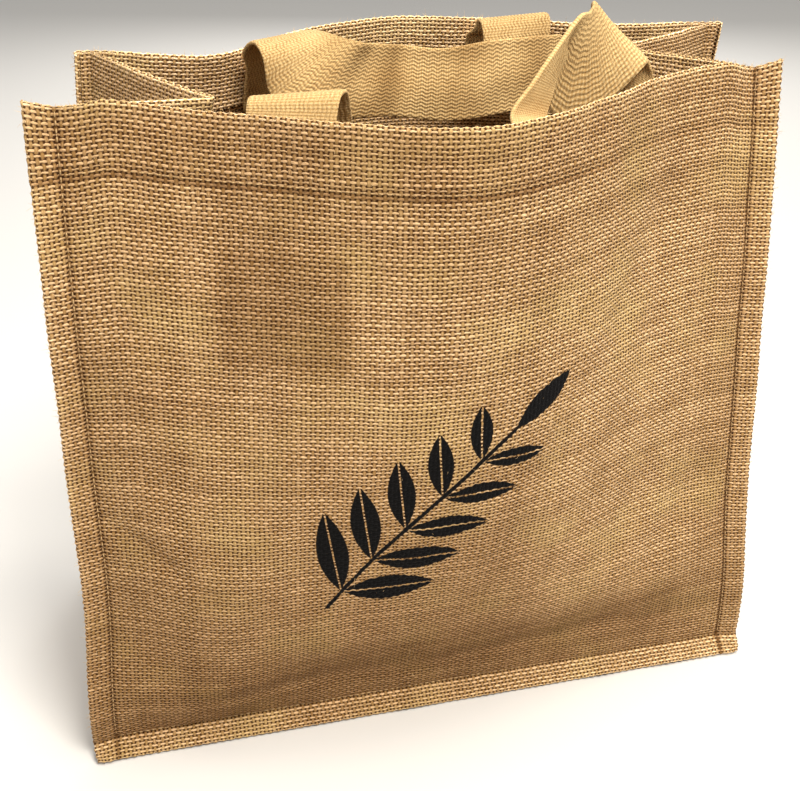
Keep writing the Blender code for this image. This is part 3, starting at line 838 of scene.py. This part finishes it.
def tube_faces(start, rings, sides):
    """Faces of a closed tube whose rings of points follow one another."""
    faces = [tuple(range(start + sides - 1, start - 1, -1))]
    for ring in range(rings - 1):
        low = start + ring * sides
        faces.extend((low + k, low + (k + 1) % sides, low + sides + (k + 1) % sides, low + sides + k)
                     for k in range(sides))
    faces.append(tuple(range(start + (rings - 1) * sides, start + rings * sides)))
    return faces


def spaced(low, high):
    """Places of stitches from one end of a line to the other."""
    return np.arange(low, high, STITCH_PITCH)


def panel_lines(panel):
    """The sewn lines on a panel's outside: both sides, the bottom and the hem."""
    facing, height = -panel.facing, STITCH_HEIGHT
    up, over = spaced(0.004, PANEL_HEIGHT - 0.002), spaced(0.003, PANEL_WIDTH - 0.002)
    return [(panel, [0.0], up, facing, height), (panel, [PANEL_WIDTH], up, facing, height),
            (panel, over, [0.0], facing, height),
            (panel, over, [PANEL_HEIGHT - HEM + HEM_SEWN], facing, height)]


def strip_lines(form):
    """The hem's sewn line across both gussets."""
    over = spaced(0.006, STRIP_WIDTH - 0.004)
    return [(form, over, [l], 1, STITCH_HEIGHT) for l in (HEM - HEM_SEWN, form.length - HEM + HEM_SEWN)]


def fibres(name, groups, slot, seed):
    """Loose fibres; a group is (roots, directions, spread, shortest, longest)."""
    chance = np.random.default_rng(seed)
    turn = np.arange(3) * 2 * np.pi / 3
    stations = ((0.0, 0.00009), (0.35, 0.00008), (0.7, 0.00006), (1.0, 0.00002))
    points, faces = [], []
    for roots, aims, spread, shortest, longest in groups:
        count = len(roots)
        aim = unit(aims + spread * chance.normal(size=(count, 3)))
        curl = unit(chance.normal(size=(count, 3)))
        long = (chance.uniform(shortest, longest, count) * chance.uniform(0.4, 1, count))[:, None]
        side = unit(np.cross(aim, curl))
        other = np.cross(aim, side)
        rings = []
        for share, thick in stations:
            middle = roots + aim * long * share + curl * long * 0.45 * share ** 2
            reach = side[:, None] * np.cos(turn)[:, None] + other[:, None] * np.sin(turn)[:, None]
            rings.append(middle[:, None] + reach * thick)
        first = sum(map(len, points))
        points.append(np.stack(rings, axis=1).reshape(-1, 3))
        step = 3 * len(stations)
        for start in range(first, first + count * step, step):
            faces.extend(tube_faces(start, len(stations), 3))
    everything = np.concatenate(points)
    everything[:, 2] = np.maximum(everything[:, 2], FIBRE_LOWEST)
    return object_from(name, everything, faces, slot)


def roots_on(form, us, vs, aim):
    """Roots at every u and v; the aim gives shares across, along and off the cloth."""
    aims = sum(way * share for way, share in zip(tangents(form.place, us, vs), aim))
    return form.place(us, vs).reshape(-1, 3), aims.reshape(-1, 3)


def fuzz(form, span, facing, lips, rims, seed):
    """Groups of loose fibres on a sheet: over its surface, its lips' edges and its rims."""
    chance = np.random.default_rng(seed)
    wide, long = span
    groups = []
    for _ in range(26):
        us, vs = chance.uniform(-lips[0], wide + lips[1], 5), chance.uniform(0.006, long - 0.006, 6)
        groups.append((*roots_on(form, us, vs, (0, 0, 0.7 * facing)), 0.7, 0.002, 0.0045))
    for edge, sign in ((-lips[0], -1), (wide + lips[1], 1)):
        if lips[0]:
            vs = chance.uniform(0.01, long, 190)
            groups.append((*roots_on(form, [edge], vs, (sign, 0, 0)), 0.7, 0.0012, 0.0035))
    for rim, sign in rims:
        us = chance.uniform(-lips[0], wide + lips[1], 280)
        groups.append((*roots_on(form, us, [rim], (0, sign, 0.5 * facing)), 0.7, 0.0015, 0.0042))
    return groups


def panel_fuzz(panel, seed):
    """Groups of loose fibres on a panel's outside, its lips and its rim."""
    return fuzz(panel, (PANEL_WIDTH, PANEL_HEIGHT), -panel.facing, (panel.lip, panel.lip),
                ((PANEL_HEIGHT, 1),), seed)


# ---------------------------------------------------------------- materials
class Graph:
    """A material's nodes, with short ways to add them."""

    def __init__(self, name):
        self.material = bpy.data.materials.new(name)
        self.material.use_nodes = True
        self.tree = self.material.node_tree
        self.shader = self.tree.nodes["Principled BSDF"]

    def node(self, kind, inputs=(), **settings):
        made = self.tree.nodes.new(kind)
        for key, value in settings.items():
            setattr(made, key, value)
        for key, value in dict(inputs).items():
            self.put(made.inputs[key], value)
        return made

    def put(self, socket, value):
        if isinstance(value, bpy.types.NodeSocket):
            self.tree.links.new(value, socket)
        else:
            socket.default_value = value

    def math(self, operation, *values):
        made = self.node("ShaderNodeMath", operation=operation)
        for socket, value in zip(made.inputs, values):
            self.put(socket, value)
        return made.outputs[0]

    def times(self, a, b):
        return self.math("MULTIPLY", a, b)

    def plus(self, a, b):
        return self.math("ADD", a, b)

    def minus(self, a, b):
        return self.math("SUBTRACT", a, b)

    def scaled(self, value, factor, offset):
        """value * factor + offset."""
        return self.math("MULTIPLY_ADD", value, factor, offset)

    def step(self, value, low, high):
        """Smooth step of value from 0 at low to 1 at high."""
        inputs = {"Value": value, "From Min": low, "From Max": high}
        return self.node("ShaderNodeMapRange", inputs, interpolation_type="SMOOTHSTEP").outputs[0]

    def mix(self, share, a, b):
        made = self.node("ShaderNodeMix", data_type="RGBA")
        for socket, value in zip((made.inputs["Factor"], made.inputs[6], made.inputs[7]), (share, a, b)):
            self.put(socket, value)
        return made.outputs[2]

    def blend(self, share, a, b):
        """Plain number between a and b."""
        return self.plus(self.times(a, self.minus(1.0, share)), self.times(b, share))

    def vector(self, x, y, z=0.0):
        return self.node("ShaderNodeCombineXYZ", {"X": x, "Y": y, "Z": z}).outputs[0]

    def noise(self, place, scale, detail=2.0):
        return self.node("ShaderNodeTexNoise", {"Vector": place, "Scale": scale, "Detail": detail}).outputs

    def chance(self, value):
        return self.node("ShaderNodeTexWhiteNoise", {"W": value}, noise_dimensions="1D").outputs[0]

    def field(self, name):
        return self.node("ShaderNodeAttribute", attribute_name=name)

    def deepened(self):
        """The piece's tone with its painted light and shade, taking more of the blue and green the darker
        it is, as colour in shade does.
        """
        shade = self.field("shade").outputs["Fac"]
        return self.vector(shade, self.math("POWER", shade, 1.22), self.math("POWER", shade, 1.5))

    def finish(self, colour, height, bump, roughness):
        made = self.node("ShaderNodeBump", {"Height": height, "Distance": bump, "Strength": 1.0})
        self.put(self.shader.inputs["Base Color"], colour)
        self.put(self.shader.inputs["Normal"], made.outputs[0])
        self.shader.inputs["Roughness"].default_value = roughness
        self.shader.inputs["Specular IOR Level"].default_value = 0.08
        self.shader.inputs["Sheen Weight"].default_value = 0.02
        self.shader.inputs["Sheen Roughness"].default_value = 0.6
        return self.material


WARP_HALF = 0.36          # half width of an upright yarn, as a share of the pitch
WEFT_HALF = 0.235
YARN_WANDER, YARN_FRAY = 0.55, 0.34   # how far yarns stray, in long waves and in short ones
WEFT_LIFT = 0.26          # the level yarns stand a little higher than the upright ones


def weave_nodes(g):
    """Height, openness, tone and place of the plain weave at a shaded point."""
    split = g.node("ShaderNodeSeparateXYZ", {"Vector": g.field("cloth").outputs["Vector"]}).outputs
    flat = g.vector(split[0], split[1])
    wander = g.node("ShaderNodeSeparateColor", {"Color": g.noise(flat, 0.33)[1]}).outputs
    s = g.scaled(g.minus(wander[0], 0.5), YARN_WANDER, split[0])
    t = g.scaled(g.minus(wander[1], 0.5), YARN_WANDER, split[1])
    i, j = g.math("ROUND", s), g.math("ROUND", t)
    frayed = g.node("ShaderNodeSeparateColor", {"Color": g.noise(flat, 2.6, 3.0)[1]}).outputs
    s = g.scaled(g.minus(frayed[0], 0.5), YARN_FRAY, s)
    t = g.scaled(g.minus(frayed[1], 0.5), YARN_FRAY, t)
    yarns = []
    for place, index, other, half, sign, lift in ((s, i, t, WARP_HALF, 1.0, 0.0),
                                                  (t, j, s, WEFT_HALF, -1.0, WEFT_LIFT)):
        own = g.chance(g.plus(index, 0.31 if sign > 0 else 77.7))
        half_width = g.scaled(own, 0.09, half - 0.045)
        far = g.math("DIVIDE", g.minus(place, index), half_width)
        round_top = g.minus(1.0, g.times(far, far))
        wave = g.math("COSINE", g.times(g.plus(other, index), np.pi))
        height = g.plus(g.scaled(wave, 0.5 * sign, lift), g.times(round_top, 0.6))
        edge = g.times(g.math("MINIMUM", round_top, 0.0), 5.0)
        yarns.append((g.plus(height, edge), own))
    over = g.math("GREATER_THAN", yarns[1][0], yarns[0][0])
    height = g.math("MAXIMUM", g.math("MAXIMUM", yarns[0][0], yarns[1][0]), -0.8)
    own = g.blend(over, yarns[0][1], yarns[1][1])
    streak_x = g.blend(over, g.times(s, 9.0), g.times(s, 0.8))
    streak_y = g.blend(over, g.times(t, 0.8), g.times(t, 9.0))
    streak = g.noise(g.vector(streak_x, streak_y), 1.0, 3.0)[0]
    slub = g.noise(g.vector(g.blend(over, g.times(i, 7.3), g.times(s, 0.35)),
                            g.blend(over, g.times(t, 0.35), g.times(j, 7.3))), 1.0)[0]
    return height, over, own, streak, slub, split


# the printed sprig, in millimetres of the front panel's cloth; its stem slants up
SPRIG_PLACE = (126.0, 112.0)
SPRIG_TURN = np.radians(43.0)
SPRIG_LENGTH = 170.0
SPRIG_BEND = 9.0
LEAF_PITCH, LEAF_LENGTH, LEAF_HALF = 27.0, 56.0, 9.0
LEAF_SLOPE = np.radians(50.0)
LEAF_SHRINK = 0.085
LEAF_RIB = 0.6
LEAF_PAIRS = 5
TIP_HALF, TIP_WIDE = 20.0, 7.0
STEM_HALF = 1.5
STEM_FOOT = 14.0          # how far the stem runs below the first leaves


def sprig_nodes(g, split):
    """1 where the black sprig is printed: a bent stem with pairs of leaves."""
    u = g.minus(g.times(split[0], WARP / MM), SPRIG_PLACE[0])
    h = g.minus(g.times(split[1], WEFT / MM), SPRIG_PLACE[1])
    sine, cosine = np.sin(SPRIG_TURN), np.cos(SPRIG_TURN)
    y = g.plus(g.times(u, sine), g.times(h, cosine))
    x = g.minus(g.times(u, cosine), g.times(h, sine))
    bent = g.math("SINE", g.times(y, np.pi / SPRIG_LENGTH))
    x = g.scaled(bent, SPRIG_BEND, x)
    aside = g.math("ABSOLUTE", x)
    sine, cosine = np.sin(LEAF_SLOPE), np.cos(LEAF_SLOPE)
    level = g.minus(g.times(y, sine), g.times(aside, cosine))
    pair = g.math("ROUND", g.math("DIVIDE", level, LEAF_PITCH * sine))
    across = g.math("ABSOLUTE", g.scaled(pair, -LEAF_PITCH * sine, level))
    rise = g.scaled(pair, -LEAF_PITCH, y)
    along = g.plus(g.times(aside, sine), g.times(rise, cosine))
    size = g.scaled(pair, -LEAF_SHRINK, 1.0)
    half = g.times(size, LEAF_LENGTH / 2)
    share = g.minus(g.math("DIVIDE", along, half), 1.0)
    lens = g.times(g.scaled(g.times(share, share), -1.0, 1.0), LEAF_HALF)
    leaf = g.step(g.minus(g.times(lens, size), across), 0.0, 0.5)
    leaf = g.times(leaf, g.step(across, LEAF_RIB * 0.5, LEAF_RIB))
    kept = g.times(g.math("GREATER_THAN", pair, -0.5), g.math("LESS_THAN", pair, LEAF_PAIRS - 0.5))
    leaf = g.times(leaf, kept)
    top = LEAF_PAIRS * LEAF_PITCH
    stem = g.step(g.minus(STEM_HALF, aside), 0.0, 0.5)
    stem = g.times(stem, g.math("GREATER_THAN", y, -STEM_FOOT))
    stem = g.times(stem, g.math("LESS_THAN", y, top))
    share = g.math("DIVIDE", g.minus(y, top + TIP_HALF * 0.8), TIP_HALF)
    tip = g.times(g.scaled(g.times(share, share), -1.0, 1.0), TIP_WIDE)
    tip = g.step(g.minus(tip, aside), 0.0, 0.5)
    return g.math("MAXIMUM", g.math("MAXIMUM", leaf, stem), tip)


YARN_LIGHT = (0.86, 0.57, 0.31, 1.0)
YARN_DARK = (0.33, 0.180, 0.060, 1.0)
YARN_GOLD = (0.62, 0.43, 0.17, 1.0)
OPENING_SHADE = (0.060, 0.021, 0.004, 1.0)
INK = (0.003, 0.0025, 0.0025, 1.0)


def burlap_material(name, printed=False):
    """Plain-woven jute: uneven yarns with streaks and soft blotches, painted shade in the openings and down
    the yarns' flanks, and painted light on the level yarns where they lie on top.
    """
    g = Graph(name)
    height, over, own, streak, slub, split = weave_nodes(g)
    place = g.vector(split[0], split[1])
    light = g.scaled(own, 0.16, g.scaled(streak, 1.6, -0.80))
    light = g.plus(light, g.scaled(slub, 0.7, -0.35))
    # painted light: the level yarn, where it lies on top, is made lighter as if lit from above
    light = g.plus(light, g.scaled(over, 0.60, 0.10))
    colour = g.mix(g.step(light, 0.0, 1.0), YARN_DARK, YARN_LIGHT)
    golden = g.step(g.noise(place, 0.045, 3.0)[0], 0.45, 0.72)
    colour = g.mix(g.times(golden, 0.45), colour, YARN_GOLD)
    # painted shade in the openings and down the yarns' flanks, darker the lower the yarn lies
    colour = g.mix(g.step(height, 0.95, -0.30), colour, OPENING_SHADE)
    if printed:
        ink = sprig_nodes(g, split)
        wear_and_highlight = g.step(g.noise(place, 1.4, 3.0)[0], 0.16, 0.28)
        colour = g.mix(g.times(ink, wear_and_highlight), colour, INK)
    shaded = g.node("ShaderNodeVectorMath", {0: colour, 1: g.deepened()}, operation="MULTIPLY")
    rough = g.scaled(streak, 0.6, height)
    return g.finish(shaded.outputs[0], rough, 0.0005, 0.92)


RIB_LIGHT = (0.74, 0.54, 0.27, 1.0)
RIB_DARK = (0.46, 0.28, 0.10, 1.0)
RIB_GROOVE_SHADE = (0.20, 0.10, 0.03, 1.0)


def webbing_material(name):
    """Jute webbing: wavy ribs along the strap, crossed by fine threads, with painted shade in the grooves
    between the ribs.
    """
    g = Graph(name)
    split = g.node("ShaderNodeSeparateXYZ", {"Vector": g.field("cloth").outputs["Vector"]}).outputs
    wave = g.times(g.math("SINE", g.times(split[1], 2 * np.pi)), split[2])
    flat = g.vector(split[0], split[1])
    wander = g.scaled(g.noise(flat, 0.9, 3.0)[0], 0.8, -0.4)
    phase = g.plus(g.plus(split[0], wave), wander)
    rib = g.math("COSINE", g.times(phase, 2 * np.pi))
    threads = g.math("COSINE", g.times(split[1], 2 * np.pi * 4))
    fine = g.noise(g.vector(g.times(split[0], 3.0), g.times(split[1], 9.0)), 1.0, 3.0)[0]
    light = g.plus(g.times(fine, 1.5), g.times(threads, 0.16))
    colour = g.mix(g.step(light, 0.40, 1.10), RIB_DARK, RIB_LIGHT)
    faint = g.step(g.noise(g.vector(g.times(split[0], 0.4), split[1]), 0.8)[0], 0.25, 0.7)
    # painted shade in the grooves between the ribs
    groove_shade = g.times(g.step(rib, 0.1, -1.0), g.scaled(faint, 0.42, 0.22))
    colour = g.mix(g.times(groove_shade, g.math("DIVIDE", split[2], BACK_WAVE)), colour, RIB_GROOVE_SHADE)
    shaded = g.node("ShaderNodeVectorMath", {0: colour, 1: g.deepened()}, operation="MULTIPLY")
    height = g.plus(g.times(rib, 0.6), g.times(threads, 0.25))
    height = g.scaled(fine, 0.6, height)
    return g.finish(shaded.outputs[0], height, 0.0002, 0.88)


THREAD, THREAD_DARK = (0.58, 0.39, 0.19, 1.0), (0.30, 0.18, 0.08, 1.0)
FIBRE, FIBRE_DARK = (0.80, 0.58, 0.32, 1.0), (0.55, 0.36, 0.17, 1.0)


def thread_material(name, colour, dark):
    """Sewing thread or loose fibre, with a little unevenness."""
    g = Graph(name)
    place = g.node("ShaderNodeTexCoord").outputs["Object"]
    uneven = g.noise(place, 900.0)[0]
    return g.finish(g.mix(g.step(uneven, 0.3, 0.7), dark, colour), uneven, 0.0001, 0.9)


# ---------------------------------------------------------------- the stage
CAMERA_PLACE = (-0.1494, -0.5870, 0.5030)
CAMERA_TILT = np.radians(90.0 - 26.43)
CAMERA_TURN = np.radians(-13.75)
CAMERA_LENS = 52.74       # on a 36 mm sensor
CAMERA_SHIFT = -0.0503
FLOOR_HALF = 6.0
FLOOR_COLOUR = (0.70, 0.69, 0.67, 1.0)
SKY_COLOUR, SKY_STRENGTH = (1.0, 0.98, 0.95, 1.0), 0.42
LIT_PLACE = (0, 0, 0.2)   # every light points here
# lights: name, place, size, power, colour
LIGHTS = (
    ("key", (0.30, -1.00, 1.70), 0.6, 39.0, (1.0, 0.95, 0.87)),
    ("fill", (-1.30, -0.90, 0.80), 1.2, 5.0, (1.0, 0.97, 0.93)),
    ("top", (0.10, -0.15, 1.70), 0.7, 18.0, (1.0, 0.96, 0.90)),
    ("behind", (0.50, 1.60, 1.00), 1.2, 14.0, (1.0, 0.97, 0.93)),
)


def stage():
    """A pale floor, soft studio light and the photograph's camera."""
    scene = bpy.context.scene
    scene.view_settings.view_transform = "Standard"
    world = bpy.data.worlds.new("studio")
    scene.world = world
    world.use_nodes = True
    background = world.node_tree.nodes["Background"]
    background.inputs["Color"].default_value = SKY_COLOUR
    background.inputs["Strength"].default_value = SKY_STRENGTH
    mesh = bpy.data.meshes.new("floor")
    far = FLOOR_HALF
    mesh.from_pydata([(-far, -far, 0), (far, -far, 0), (far, far, 0), (-far, far, 0)], [], [(0, 1, 2, 3)])
    floor = bpy.data.objects.new("floor", mesh)
    scene.collection.objects.link(floor)
    g = Graph("floor")
    g.shader.inputs["Base Color"].default_value = FLOOR_COLOUR
    g.shader.inputs["Roughness"].default_value = 0.8
    mesh.materials.append(g.material)
    for name, place, size, power, colour in LIGHTS:
        light = bpy.data.lights.new(name, "AREA")
        light.energy, light.size, light.color = power, size, colour
        lamp = bpy.data.objects.new(name, light)
        lamp.location = place
        lamp.rotation_euler = (Vector(LIT_PLACE) - lamp.location).to_track_quat("-Z", "Y").to_euler()
        scene.collection.objects.link(lamp)
    camera = bpy.data.objects.new("camera", bpy.data.cameras.new("camera"))
    camera.location = CAMERA_PLACE
    camera.rotation_euler = (CAMERA_TILT, 0.0, CAMERA_TURN)
    camera.data.lens = CAMERA_LENS
    camera.data.sensor_width = 36.0
    camera.data.shift_y = CAMERA_SHIFT
    camera.data.clip_start = 0.01
    scene.collection.objects.link(camera)
    scene.camera = camera


# ---------------------------------------------------------------- the bag
def paint(piece, material):
    """Gives a piece its material and its body."""
    piece.data.materials.append(material)
    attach(piece, "root")


stage()
front = Panel(FRONT_DEPTH, FRONT_SHIFT, (RIGHT_DROP, CORNER_DROP), 0.0,
              -1, FRONT_LIP, FRONT_LIP_TURN, LIP_RISE)
back = Panel(BACK_DEPTH, BACK_SHIFT, (0.0, 0.0), BACK_SLACK, 1, BACK_LIP, BACK_LIP_TURN, 0.0)
strip = Strip(front, back)
strap_front = Strap(front, FRONT_ENDS, FRONT_FOLDS)
strap_back = Strap(back, BACK_ENDS, BACK_FOLDS)

front_cloth = panel_cloth("front_cloth", front, front_lift, front_tone)
back_cloth = panel_cloth("back_cloth", back, back_lift, back_tone)
strip_sheet = strip_cloth(strip)
webbing_front = strap_piece("webbing_front", strap_front, FRONT_WAVE,
                            strap_tone(strap_front, (), 0.93, 51), ())
webbing_back = strap_piece("webbing_back", strap_back, BACK_WAVE,
                           strap_tone(strap_back, BACK_CREASES, 0.90, 52), BACK_CREASES)
front_thread = stitches("front_stitches", panel_lines(front), "burlap")
back_thread = stitches("back_stitches", panel_lines(back), "burlap")
strip_thread = stitches("strip_stitches", strip_lines(strip), "burlap_strip")

front_fuzz = fibres("front_fibres", panel_fuzz(front, 61), "burlap", 62)
tip = (*roots_on(back, PANEL_WIDTH + np.array((0.002, 0.004, 0.006)), [PANEL_HEIGHT], (0.2, 1, 0)),
       0.25, 0.004, 0.007)
back_fuzz = fibres("back_fibres", [tip] + panel_fuzz(back, 63), "burlap", 64)
strip_fuzz = fibres("strip_fibres", fuzz(strip, (STRIP_WIDTH, PANEL_HEIGHT), 1, (0, 0), ((0, -1),), 65)
                    + fuzz(strip, (STRIP_WIDTH, strip.length), -1, (0, 0), ((strip.length, 1),), 67),
                    "burlap_strip", 66)

jute = burlap_material("burlap_woven")
printed = burlap_material("burlap_printed", printed=True)
webbing = webbing_material("webbing_woven")
thread = thread_material("thread", THREAD, THREAD_DARK)
fibre = thread_material("fibre", FIBRE, FIBRE_DARK)
for piece, material in ((front_cloth, printed), (back_cloth, jute), (strip_sheet, jute),
                        (webbing_front, webbing), (webbing_back, webbing),
                        (front_thread, thread), (back_thread, thread), (strip_thread, thread),
                        (front_fuzz, fibre), (back_fuzz, fibre), (strip_fuzz, fibre)):
    paint(piece, material)

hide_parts("front_panel")
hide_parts("back_panel")
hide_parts("side_strip")
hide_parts("handle_front")
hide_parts("handle_back")


STRIP_WIDTH + sum(strip.lips)
